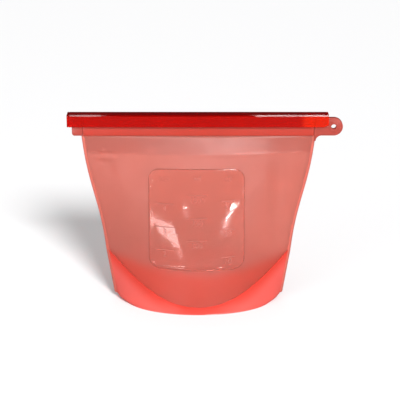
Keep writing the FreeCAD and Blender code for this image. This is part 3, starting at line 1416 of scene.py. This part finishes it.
@dataclass
class Graduation:
    """Thin raised lines and figures on the measuring window.

    Attributes:
        window: The window that they stand on.
        scales: Columns of marks.
        figure: Height of the figures.
        type_size: Size of the type, as a multiple of that height.
        figure_drop: From a line down to the foot of its figure, as a multiple of that height.
        stroke: Thickness of the lines.
        relief: How far the marks stand out.
        heading: From the window's upper edge down to the names of the units.
    """

    window: MeasuringWindow
    scales: tuple[Scale, ...] = (
        Scale("cup", -28 * MM, 15 * MM, 92 * MM, 54 * MM, ("4", "3", "2")),
        Scale("ml", -1 * MM, 16 * MM, 99 * MM, 62 * MM, ("1000", "750", "500")),
        Scale("oz", 24.5 * MM, 11 * MM, 94 * MM, 48 * MM, ("30", "20", "10")),
    )
    figure: float = 4.6 * MM
    type_size: float = 1.4
    figure_drop: float = 1.25
    stroke: float = 0.6 * MM
    relief: float = 0.3 * MM
    heading: float = 9.5 * MM

    def lettering(self, words: str, x: float, z: float) -> Piece:
        """Make one word or figure, flat and upright.

        Args:
            words: The text.
            x: Its middle.
            z: Its lower edge.

        Returns:
            A mesh whose depth runs along Y, about Y = 0.
        """
        bpy.ops.object.select_all(action="DESELECT")
        bpy.ops.object.text_add(location=(x, 0.0, z), rotation=(math.pi / 2, 0.0, 0.0))
        text = bpy.context.object
        text.data.body = words
        text.data.size = self.figure * self.type_size
        text.data.align_x = "CENTER"
        text.data.resolution_u = 3
        text.data.extrude = self.relief
        only(text)
        bpy.ops.object.convert(target="MESH")
        return settle("lettering")

    def rule(self, x: float, z: float, length: float) -> Piece:
        """Make one line, flat, in short faces that can follow the wall.

        Args:
            x: Its middle.
            z: Its height.
            length: Its length.

        Returns:
            A mesh whose depth runs along Y, about Y = 0.
        """
        reach = Vector((length / 2, self.relief, self.stroke / 2))
        centre = Vector((x, 0.0, z))
        piece = block("rule", centre - reach, centre + reach)
        select_edges(piece, lambda a, b: abs(a.x - b.x) > length / 2)
        bpy.ops.mesh.subdivide(number_cuts=10)
        leave_edit()
        return piece

    def build(self) -> Piece:
        """Make every mark, join them and lay them on the window.

        Returns:
            The marks as one piece.
        """
        window = self.window
        parts = []
        for scale in self.scales:
            parts.append(self.lettering(scale.unit, scale.x, window.top - self.heading))
            for index, figure in enumerate(scale.figures):
                z = mix(scale.highest, scale.lowest, index / (len(scale.figures) - 1))
                parts.append(self.rule(scale.x, z, scale.line))
                parts.append(self.lettering(figure, scale.x, z - self.figure * self.figure_drop))
        bpy.ops.object.select_all(action="DESELECT")
        for part in parts:
            part.select_set(True)
        bpy.context.view_layer.objects.active = parts[0]
        bpy.ops.object.join()
        piece = settle("graduation_marks")
        for vertex in piece.data.vertices:
            x, out, z = vertex.co
            vertex.co = window.skin(x, z, window.recess + window.pane_wave(x, z) - out)
        return piece


@dataclass
class FrontWall(SubAssembly):
    """Front wall: panel, measuring window and marks.

    Attributes:
        form: Shape of the shell.
        unevenness: Waves and dents of the wall.
    """

    form: BagForm
    unevenness: Unevenness

    def build(self) -> None:
        """Build the panel with its opening, the window and the marks."""
        low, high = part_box("measuring_window")
        window = MeasuringWindow(self.form, self.unevenness, low.x, high.x, low.z, high.z)
        self.panel = WallPanel(self.form, Wall.FRONT, self.unevenness).build("front_wall_panel")
        combine(self.panel, window.opening(), "DIFFERENCE")
        self.pane = window.build()
        self.marks = Graduation(window).build()

    def dress(self, finishes: Finishes) -> tuple[Piece, ...]:
        """Frost the panel, polish the window and finish the marks.

        Args:
            finishes: Every material of the bag.

        Returns:
            The finished pieces.
        """
        for piece, finish, slot in (
            (self.panel, FROSTED, "silicone_wall"),
            (self.pane, POLISHED, "silicone_window"),
            (self.marks, RAISED_MARK, "silicone_window"),
        ):
            finishes.dress(piece, finish, slot)
            paint_base_glow(piece, self.form.over_pan)
            open_with(piece, self.form)
        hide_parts("front_panel")
        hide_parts("measuring_window")
        return self.panel, self.pane, self.marks


@dataclass
class BackWall(SubAssembly):
    """Back wall, a single panel.

    Attributes:
        form: Shape of the shell.
        unevenness: Waves and dents of the wall.
    """

    form: BagForm
    unevenness: Unevenness

    def build(self) -> None:
        """Build the panel."""
        self.panel = WallPanel(self.form, Wall.BACK, self.unevenness).build("back_wall_panel")

    def dress(self, finishes: Finishes) -> tuple[Piece, ...]:
        """Frost the panel.

        Args:
            finishes: Every material of the bag.

        Returns:
            The finished pieces.
        """
        finishes.dress(self.panel, FROSTED, "silicone_wall")
        paint_base_glow(self.panel, self.form.over_pan)
        open_with(self.panel, self.form)
        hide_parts("back_panel")
        return (self.panel,)


@dataclass
class Base(SubAssembly):
    """Base of the bag: both skirts and the pan between them.

    Attributes:
        form: Shape of the shell.
        skirt_faces: Faces of a skirt along the bag and up.
        skirt_thickness: Thickness of the welded skirts.
        skirt_rounding: Width of the rounding of their edges.
        skirt_overlap: How far they reach over the side seams.
        weld: How far the skirts reach over the panels.
        weld_band: Height over which the weld rises out of the skirt.
        weld_relief: How far the weld stands out.
        pan_faces: Faces of the pan along the bag and across it.
        pan_thickness: Thickness of the pan.
        pan_drop: From the base seam down to the edge of the pan.
        pan_power: Exponent of the pan's keel.
        pan_end: From the ends of the pan to the inner edge of the seams.
        pan_overlap: How far the edge of the pan reaches into the skirts.
        keel: Height of the pan's middle surface in the middle of the bag.
        pan_lift: Lowest height of the pan.
    """

    form: BagForm
    skirt_faces: tuple[int, int] = (120, 18)
    skirt_thickness: float = 2.2 * MM
    skirt_rounding: float = 0.35 * MM
    skirt_overlap: float = 0.4 * MM
    weld: float = 0.9 * MM
    weld_band: float = 2.4 * MM
    weld_relief: float = 0.3 * MM
    pan_faces: tuple[int, int] = (90, 28)
    pan_thickness: float = 1.2 * MM
    pan_drop: float = 1.0 * MM
    pan_power: float = 2.6
    pan_end: float = 2.5 * MM
    pan_overlap: float = 0.2 * MM
    keel: float = 0.2 * MM
    pan_lift: float = 0.3 * MM

    def skirt_surface(self, wall: Wall, u: float, v: float, inset: float) -> Vector:
        """Place on a skirt.

        Args:
            wall: The wall that the skirt belongs to.
            u: From 0 at the left edge to 1 at the right edge, seen from outside.
            v: From 0 on the table to 1 at the weld.
            inset: Distance from the outside of the skirt.

        Returns:
            The place.
        """
        form = self.form
        share = math.sin(math.pi * (u - 0.5))
        z = v * (form.arc_on_column(share) + self.weld)
        x = share * (form.half_width(z) + self.skirt_overlap - 0.5 * inset) * -wall.value
        depth = form.depth(share, z, inset)
        if inset == 0.0:
            upper = z / max(v, 0.01)
            depth += self.weld_relief * smooth_step(z, upper - self.weld_band, upper)
        return Vector((x, wall.value * depth, z))

    def skirt(self, wall: Wall, name: str) -> Piece:
        """Build one skirt.

        Args:
            wall: The wall that it belongs to.
            name: Name of the piece.

        Returns:
            The piece.
        """
        piece = closed_sheet(
            name,
            *self.skirt_faces,
            lambda u, v: self.skirt_surface(wall, u, v, 0.0),
            lambda u, v: self.skirt_surface(wall, u, v, self.skirt_thickness),
        )
        round_edges(piece, self.skirt_rounding)
        return piece

    def pan_surface(self, u: float, v: float, lift: float) -> Vector:
        """Place on the pan.

        Args:
            u: From 0 at the left end to 1 at the right end.
            v: From 0 at the front edge to 1 at the back edge.
            lift: Height above the pan's middle surface.

        Returns:
            The place.
        """
        form = self.form
        x = mix(-1.0, 1.0, u) * (form.waist_half - self.pan_end)
        across = mix(-1.0, 1.0, v)
        rim = form.arc(x) - self.pan_drop
        share = min(1.0, abs(x) / (form.half_width(rim) - self.skirt_thickness))
        half_depth = form.depth(share, rim, self.skirt_thickness) + self.pan_overlap
        keel = mix(self.keel, form.waist, (abs(x) / form.waist_half) ** self.pan_power)
        z = mix(keel, rim, across * across)
        return Vector((x, across * half_depth, max(self.pan_lift, z + lift)))

    def build(self) -> None:
        """Build both skirts and the pan."""
        self.front = self.skirt(Wall.FRONT, "front_skirt_weld")
        self.back = self.skirt(Wall.BACK, "back_skirt_weld")
        self.pan = closed_sheet(
            "base_pan",
            *self.pan_faces,
            lambda u, v: self.pan_surface(u, v, self.pan_thickness / 2),
            lambda u, v: self.pan_surface(u, v, -self.pan_thickness / 2),
        )

    def dress(self, finishes: Finishes) -> tuple[Piece, ...]:
        """Finish the skirts and the pan, which stay with the bag.

        Args:
            finishes: Every material of the bag.

        Returns:
            The finished pieces.
        """
        for piece, finish, node in (
            (self.front, WELDED, "front_skirt"),
            (self.back, WELDED, "back_skirt"),
            (self.pan, PAN, "base_gusset"),
        ):
            finishes.dress(piece, finish, "silicone_base")
            paint_base_glow(piece, self.form.near_arc)
            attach(piece, Body.BAG.value)
            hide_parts(node)
        return self.front, self.back, self.pan


@dataclass
class SideSeam(SubAssembly):
    """Flat seam down one side of the bag, with its free lower corner.

    Attributes:
        form: Shape of the shell.
        side: Side of the bag.
        faces: Faces across the seam and up.
        thickness: Thickness of the seam.
        corner: Radius of the lower corner.
        overlap: How far it reaches over the walls.
        lip_gap: Room under the lips.
        crowding: Exponent that crowds the rows towards the lower corner.
        rounded_from: Share of the width where its outer edge starts to round.
        blunt: Square of the share of the thickness that the outer edge keeps.
        rounding: Width of the rounding of its edges.
    """

    form: BagForm
    side: Side
    faces: tuple[int, int] = (8, 90)
    thickness: float = 2.2 * MM
    corner: float = 1.4 * MM
    overlap: float = 0.5 * MM
    lip_gap: float = 0.1 * MM
    crowding: float = 1.3
    rounded_from: float = 0.55
    blunt: float = 0.02
    rounding: float = 0.3 * MM

    def surface(self, u: float, v: float, face: int) -> Vector:
        """Place on the seam.

        Args:
            u: From 0 to 1 to the right.
            v: From 0 at the lower corner to 1 at the lips.
            face: -1 on the front face and 1 on the back face.

        Returns:
            The place.
        """
        form = self.form
        z = mix(form.ear, form.top - self.lip_gap, v**self.crowding)
        outward = u if self.side is Side.RIGHT else 1 - u
        inner = form.half_width(z) - self.overlap
        outer = form.half_width(z) + form.seam_width
        short = max(0.0, form.ear + self.corner - z)
        outer -= self.corner - math.sqrt(max(0.0, self.corner**2 - short**2))
        share = max(0.0, (outward - self.rounded_from) / (1 - self.rounded_from))
        half = self.thickness / 2 * math.sqrt(max(self.blunt, 1 - share * share))
        return Vector((self.side.value * mix(inner, outer, outward), face * half, z))

    def build(self) -> None:
        """Build the seam."""
        self.piece = closed_sheet(
            f"{self.side.name.lower()}_seam",
            *self.faces,
            lambda u, v: self.surface(u, v, -1),
            lambda u, v: self.surface(u, v, 1),
        )
        round_edges(self.piece, self.rounding)

    def dress(self, finishes: Finishes) -> tuple[Piece, ...]:
        """Finish the seam, which stays with the bag.

        Args:
            finishes: Every material of the bag.

        Returns:
            The finished pieces.
        """
        finishes.dress(self.piece, SEAM, "silicone_wall")
        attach(self.piece, Body.BAG.value)
        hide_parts(f"{self.side.name.lower()}_side_seam")
        return (self.piece,)


@dataclass
class Lips(SubAssembly):
    """Both lips, their fused left end and the hanging tab at their right end.

    Attributes:
        form: Shape of the shell.
        cuts: Number of cuts across a lip.
        gap: Distance from the inner face of a lip to the plane Y = 0.
        band: How far the lips stand out below the slider bar.
        band_top: Height where that band ends.
        rim_height: Height of the thickened rim.
        rim_depth: How far the rim stands out.
        softness: Width of the rounding along their edges.
        end_corner: Radius of the lower corner of the fused end.
        tab_softness: Width of the rounding along the tab's edges.
        tab_fillet: Radius under the tab, where it runs into the seam.
        hole_radius: Radius of the hanging hole.
        ring_radius: Radius of the raised ring around the hole.
        ring_relief: How far that ring stands out.
        sharp: Smallest angle, in degrees, that is rounded.
    """

    form: BagForm
    cuts: int = 79
    gap: float = 0.1 * MM
    band: float = 0.55 * MM
    band_top: float = 153.4 * MM
    rim_height: float = 3.4 * MM
    rim_depth: float = 1.4 * MM
    softness: float = 0.48 * MM
    end_corner: float = 2.2 * MM
    tab_softness: float = 0.3 * MM
    tab_fillet: float = 4.8 * MM
    hole_radius: float = 2.2 * MM
    ring_radius: float = 4.2 * MM
    ring_relief: float = 0.45 * MM
    sharp: float = 40.0

    def push_out(self, piece: Piece, way: int, low: float, high: float, reach: float) -> None:
        """Pull a band of a piece's long face outwards.

        Args:
            piece: The piece.
            way: Direction along Y, 1 or -1.
            low: Lower edge of the band.
            high: Upper edge of the band.
            reach: How far it is pulled out.
        """
        select_faces(piece, lambda face: face.normal.y * way > 0.9 and low < face.center.z < high)
        bpy.ops.mesh.extrude_region_move(TRANSFORM_OT_translate={"value": (0.0, way * reach, 0.0)})
        leave_edit()

    def profile(self, piece: Piece, ways: tuple[int, ...]) -> None:
        """Give a strip its lower band and its thickened rim, and round it.

        Args:
            piece: The strip.
            ways: Directions along Y that these stand out in.
        """
        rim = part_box("front_lip")[1].z - self.rim_height
        for height in (self.band_top, rim):
            slice_piece(piece, Vector((0.0, 0.0, height)), Vector((0.0, 0.0, 1.0)))
        for way in ways:
            self.push_out(piece, way, -1.0, self.band_top, self.band)
            self.push_out(piece, way, rim, 1.0, self.rim_depth)
        round_edges(piece, self.softness, 3, self.sharp)

    def lip(self, wall: Wall, name: str) -> Piece:
        """Build one lip.

        Args:
            wall: The wall that it belongs to.
            name: Name of the piece.

        Returns:
            The piece.
        """
        low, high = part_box("front_lip")
        near, far = sorted((wall.value * self.gap, wall.value * self.form.lip_half_depth))
        piece = block(name, Vector((low.x, near, low.z)), Vector((high.x, far, high.z)))
        select_edges(piece, lambda a, b: abs(a.x - b.x) > 50 * MM)
        bpy.ops.mesh.subdivide(number_cuts=self.cuts)
        leave_edit()
        self.profile(piece, (wall.value,))
        return piece

    def end(self) -> Piece:
        """Build the fused left end of the lips.

        Returns:
            The piece.
        """
        low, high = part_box("lip_end")
        half = self.form.lip_half_depth
        low, high = Vector((low.x, -half, self.form.top)), Vector((high.x, half, high.z))
        piece = block("lip_fused_end", low, high)

        def corner(a: Vector, b: Vector) -> bool:
            """Whether the edge between two points is the lower left one."""
            return abs(a.y - b.y) > 1 * MM and max(a.x, b.x) < low.x + 1 * MM and max(a.z, b.z) < 150 * MM

        select_edges(piece, corner)
        bpy.ops.mesh.bevel(offset=self.end_corner, segments=8, affect="EDGES")
        leave_edit()
        self.profile(piece, (-1, 1))
        return piece

    def hanging_tab(self) -> Piece:
        """Build the tab with its hole, ring and the web under it.

        Returns:
            The piece.
        """
        low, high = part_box("hanging_tab")
        half = self.form.lip_half_depth
        radius = (high.z - self.form.top) / 2
        centre = Vector((high.x - radius, 0.0, self.form.top + radius))
        seam_x = self.form.mouth_half + self.form.seam_width
        reach = self.tab_fillet
        loop = turn_about((centre.x, centre.z), radius, -90.0, 90.0, 48)
        web = turn_about((seam_x + reach, self.form.top - reach), reach, 180.0, 90.0, 20)
        foot = (low.x, self.form.top - reach)
        piece = plate("hanging_tab_loop", [foot] + web + loop + [(low.x, high.z)], half)
        ring_depth = 2 * (half + self.ring_relief)
        combine(piece, disc("tab_ring", centre, self.ring_radius, ring_depth, 64), "UNION")
        combine(piece, disc("tab_hole", centre, self.hole_radius, 8 * half, 48), "DIFFERENCE")
        round_edges(piece, self.tab_softness, angle=self.sharp)
        return piece

    def build(self) -> None:
        """Build the lips, their end and the tab."""
        self.front = self.lip(Wall.FRONT, "front_lip_strip")
        self.back = self.lip(Wall.BACK, "back_lip_strip")
        self.left_end = self.end()
        self.tab = self.hanging_tab()

    def dress(self, finishes: Finishes) -> tuple[Piece, ...]:
        """Finish the lips, and the end and the tab, which stay with the bag.

        Args:
            finishes: Every material of the bag.

        Returns:
            The finished pieces.
        """
        for piece, node, wall in (
            (self.front, "front_lip", Wall.FRONT),
            (self.back, "back_lip", Wall.BACK),
        ):
            finishes.dress(piece, LIP, "silicone_lip")
            open_with(piece, self.form)
            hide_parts(node)
        for piece, node in ((self.left_end, "lip_end"), (self.tab, "hanging_tab")):
            finishes.dress(piece, THICK, "silicone_lip")
            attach(piece, Body.BAG.value)
            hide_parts(node)
        return self.front, self.back, self.left_end, self.tab


@dataclass
class SliderBar(SubAssembly):
    """Rigid channel that runs over both lips, and the stop that closes its left end.

    Attributes:
        side_wall: Thickness of the sides.
        top_wall: Thickness of the top.
        jaw_height: Height of the jaws under the cavity.
        slot_half: Half of the width of the slot between the jaws.
        crown: Width of the chamfer along the upper edges.
        slope_length: Length of the slope at the open end.
        slope_height: Height of that slope.
        rounding: Width of the rounding of the channel's edges.
        stop_rounding: Width of the rounding of the stop's edges.
        stop_gap: Room between the stop and the channel.
        overrun: How far the shapes that cut the channel reach past it.
    """

    side_wall: float = 1.5 * MM
    top_wall: float = 1.5 * MM
    jaw_height: float = 2.6 * MM
    slot_half: float = 2.5 * MM
    crown: float = 1.1 * MM
    slope_length: float = 4.5 * MM
    slope_height: float = 1.5 * MM
    rounding: float = 0.25 * MM
    stop_rounding: float = 0.45 * MM
    stop_gap: float = 0.03 * MM
    overrun: float = 2 * MM

    def crowned_block(self, name: str, low: Vector, high: Vector) -> Piece:
        """Build a block whose long upper edges are chamfered.

        Args:
            name: Name of the piece.
            low: Lowest corner.
            high: Highest corner.

        Returns:
            The piece.
        """
        piece = block(name, low, high)
        length, middle = high.x - low.x, (low.z + high.z) / 2
        select_edges(piece, lambda a, b: abs(a.x - b.x) > 0.5 * length and min(a.z, b.z) > middle)
        bpy.ops.mesh.bevel(offset=self.crown, segments=1, affect="EDGES")
        leave_edit()
        return piece

    def build(self) -> None:
        """Build the channel and its end stop."""
        low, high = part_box("slider_bar")
        self.channel = self.crowned_block("slider_channel", low, high)
        jaw_top = low.z + self.jaw_height
        start, end = low.x - self.overrun, high.x + self.overrun
        cavity = block(
            "cavity",
            Vector((start, low.y + self.side_wall, jaw_top)),
            Vector((end, high.y - self.side_wall, high.z - self.top_wall)),
        )
        slot = block(
            "slot",
            Vector((start, -self.slot_half, low.z - self.overrun)),
            Vector((end, self.slot_half, jaw_top + self.overrun)),
        )
        combine(cavity, slot, "UNION")
        combine(self.channel, cavity, "DIFFERENCE")
        slope = Vector((self.slope_height, 0.0, -self.slope_length)).normalized()
        slice_piece(self.channel, Vector((high.x - self.slope_length, 0.0, low.z)), slope, remove=True)
        round_edges(self.channel, self.rounding)
        low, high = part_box("slider_end_stop")
        self.stop = self.crowned_block("slider_stop", low, high - Vector((self.stop_gap, 0.0, 0.0)))
        round_edges(self.stop, self.stop_rounding, 3)

    def dress(self, finishes: Finishes) -> tuple[Piece, ...]:
        """Finish both pieces, which move with the slider.

        Args:
            finishes: Every material of the bag.

        Returns:
            The finished pieces.
        """
        for piece, node in ((self.channel, "slider_bar"), (self.stop, "slider_end_stop")):
            finishes.dress(piece, BAR, "bar_plastic")
            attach(piece, Body.SLIDER.value)
            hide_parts(node)
        return self.channel, self.stop


# Studio


def direction(azimuth: float, elevation: float) -> Vector:
    """Direction from the bag, in degrees to the right of the camera and above the horizon."""
    turn, rise = math.radians(azimuth), math.radians(elevation)
    return Vector((math.sin(turn) * math.cos(rise), -math.cos(turn) * math.cos(rise), math.sin(rise)))


@dataclass(frozen=True)
class SoftLight:
    """One soft rectangular lamp of the studio.

    Attributes:
        name: Name of the lamp.
        azimuth: Direction from the bag, in degrees to the right of the camera.
        elevation: Height above the horizon, in degrees.
        distance: Distance from the bag.
        size: Width and height of the lamp.
        power: Power in watts.
        roll: Turn of the lamp about its own axis, in degrees.
        aside: How far the lamp and the point that it faces are shifted along the mouth.
    """

    name: str
    azimuth: float
    elevation: float
    distance: float
    size: Pair
    power: float
    roll: float = 0.0
    aside: float = 0.0

    def build(self, target: Vector) -> None:
        """Place the lamp so that it faces the target.

        Args:
            target: The point that it faces, before it is shifted aside.
        """
        lamp = bpy.data.lights.new(self.name, "AREA")
        lamp.shape = "RECTANGLE"
        lamp.size, lamp.size_y = self.size
        lamp.energy = self.power
        item = add_item(self.name, lamp)
        away = direction(self.azimuth, self.elevation)
        facing = (-away).to_track_quat("-Z", "Y").to_matrix().to_4x4()
        centre = target + Vector((self.aside, 0.0, 0.0)) + away * self.distance
        turn = Matrix.Rotation(math.radians(self.roll), 4, "Z")
        item.visible_camera = False
        item.matrix_world = Matrix.Translation(centre) @ facing @ turn


@dataclass(frozen=True)
class KeyLight:
    """Distant key light of the studio.

    Attributes:
        azimuth: Direction from the bag, in degrees to the right of the camera.
        elevation: Height above the horizon, in degrees.
        strength: Strength of the light.
        spread: How wide it appears from the bag, in degrees, which softens its shadows.
    """

    azimuth: float
    elevation: float
    strength: float
    spread: float

    def build(self) -> None:
        """Place the light."""
        sun = bpy.data.lights.new("key_light", "SUN")
        sun.energy = self.strength
        sun.angle = math.radians(self.spread)
        item = add_item("key_light", sun)
        item.rotation_mode = "QUATERNION"
        item.rotation_quaternion = (-direction(self.azimuth, self.elevation)).to_track_quat("-Z", "Y")


@dataclass
class Studio:
    """Pale floor, soft light and camera.

    Attributes:
        elevation: Height of the camera above the horizon, in degrees.
        distance: Distance from the camera to its target.
        lens: Focal length in millimetres.
        target: Point that the camera looks at.
        key: The key light.
        lamps: The soft lamps.
        room: Brightness of the room, then of what the bag lets through and of what it mirrors.
        paint: Colour of the floor.
        mirrored_paint: Colour of the floor as the bag mirrors it.
        floor_size: Length of the floor's sides.
        floor_gap: Distance from the floor up to the bag.
    """

    elevation: float
    distance: float
    lens: float
    target: Vector
    key: KeyLight
    lamps: tuple[SoftLight, ...]
    room: tuple[float, float, float]
    paint: Colour = (0.90, 0.90, 0.905, 1.0)
    mirrored_paint: Colour = (0.06, 0.06, 0.06, 1.0)
    floor_size: float = 16.0
    floor_gap: float = 0.02 * MM

    def build_floor(self) -> None:
        """Lay a wide pale floor just under the bag."""
        bpy.ops.object.select_all(action="DESELECT")
        bpy.ops.mesh.primitive_plane_add(size=self.floor_size, location=(0.0, 0.0, -self.floor_gap))
        floor = bpy.context.object
        floor.name = "studio_floor"
        material = bpy.data.materials.new("pale_floor")
        material.use_nodes = True
        tree = material.node_tree
        body = tree.nodes["Principled BSDF"]
        sight = tree.nodes.new("ShaderNodeLightPath").outputs
        mirrored = add_math(tree, "MULTIPLY", sight["Is Glossy Ray"], sight["Is Reflection Ray"])
        colour = add_mix(tree, mirrored, self.paint, self.mirrored_paint)
        tree.links.new(colour, body.inputs["Base Color"])
        body.inputs["Roughness"].default_value = 0.7
        body.inputs["Specular IOR Level"].default_value = 0.1
        floor.data.materials.append(material)

    def build_light(self) -> None:
        """Light the room evenly, and add the lamps."""
        world = bpy.data.worlds.new("studio_room")
        world.use_nodes = True
        tree = world.node_tree
        sight = tree.nodes.new("ShaderNodeLightPath").outputs
        plain, through, mirrored = self.room
        glossy = add_range(tree, sight["Is Reflection Ray"], (0.0, 1.0), (through, mirrored))
        strength = add_range(tree, sight["Is Glossy Ray"], (0.0, 1.0), (plain, through))
        tree.links.new(glossy, strength.node.inputs["To Max"])
        room = tree.nodes["Background"]
        room.inputs["Color"].default_value = (1.0, 1.0, 1.0, 1.0)
        tree.links.new(strength, room.inputs["Strength"])
        bpy.context.scene.world = world
        self.key.build()
        for lamp in self.lamps:
            lamp.build(self.target)

    def build_camera(self) -> None:
        """Place the camera and make it the scene's own."""
        data = bpy.data.cameras.new("studio_camera")
        data.lens = self.lens
        data.sensor_width = 36.0
        camera = add_item("studio_camera", data)
        away = direction(0.0, self.elevation)
        camera.location = self.target + away * self.distance
        camera.rotation_mode = "QUATERNION"
        camera.rotation_quaternion = (-away).to_track_quat("-Z", "Y")
        bpy.context.scene.camera = camera
        bpy.context.scene.view_settings.view_transform = "Standard"

    def build(self) -> None:
        """Build the whole studio."""
        self.build_floor()
        self.build_light()
        self.build_camera()


def main() -> None:
    """Build the bag and its studio."""
    logging.basicConfig(level=logging.INFO, format="%(name)s: %(message)s")
    panel_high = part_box("front_panel")[1]
    skirt_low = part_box("front_skirt")[0]
    form = BagForm(top=panel_high.z, mouth_half=panel_high.x, base_half_depth=-skirt_low.y)
    front = Unevenness(wave=0.45 * MM, dent=2.0 * MM, crinkle=0.9 * MM, welt=0.18 * MM, phase=0.4)
    back = Unevenness(wave=0.35 * MM, dent=0.6 * MM, crinkle=0.0, welt=0.22 * MM, phase=2.1)
    finishes = Finishes()
    for part in (
        FrontWall(form, front),
        BackWall(form, back),
        Base(form),
        SideSeam(form, Side.LEFT),
        SideSeam(form, Side.RIGHT),
        Lips(form),
        SliderBar(),
    ):
        part.build()
        for piece in part.dress(finishes):
            log.info("%s: %d faces", piece.name, len(piece.data.polygons))
    Studio(
        elevation=19.5,
        distance=1.2,
        lens=128.6,
        target=Vector((1.3 * MM, 0.0, 88.5 * MM)),
        key=KeyLight(azimuth=16.0, elevation=34.0, strength=3.65, spread=14.0),
        lamps=(
            SoftLight("left_fill", -42.0, 22.0, 0.9, (0.5, 0.5), 1.0),
            SoftLight("left_card", -28.0, -5.5, 0.7, (0.26, 0.08), 0.65, 12.0),
            SoftLight("right_card", 25.0, 3.2, 0.7, (0.08, 0.008), 0.4, 14.0),
            SoftLight("middle_card", -5.7, 8.7, 0.9, (0.05, 0.006), 0.09),
            SoftLight("bar_card_right", 0.0, 75.5, 0.574, (0.09, 0.012), 0.045, 0.0, 110 * MM),
            SoftLight("bar_card_left", 0.0, 75.5, 0.574, (0.045, 0.012), 0.011, 0.0, -138 * MM),
        ),
        room=(0.47, 0.25, 0.02),
    ).build()


if __name__ == "__main__":
    main()
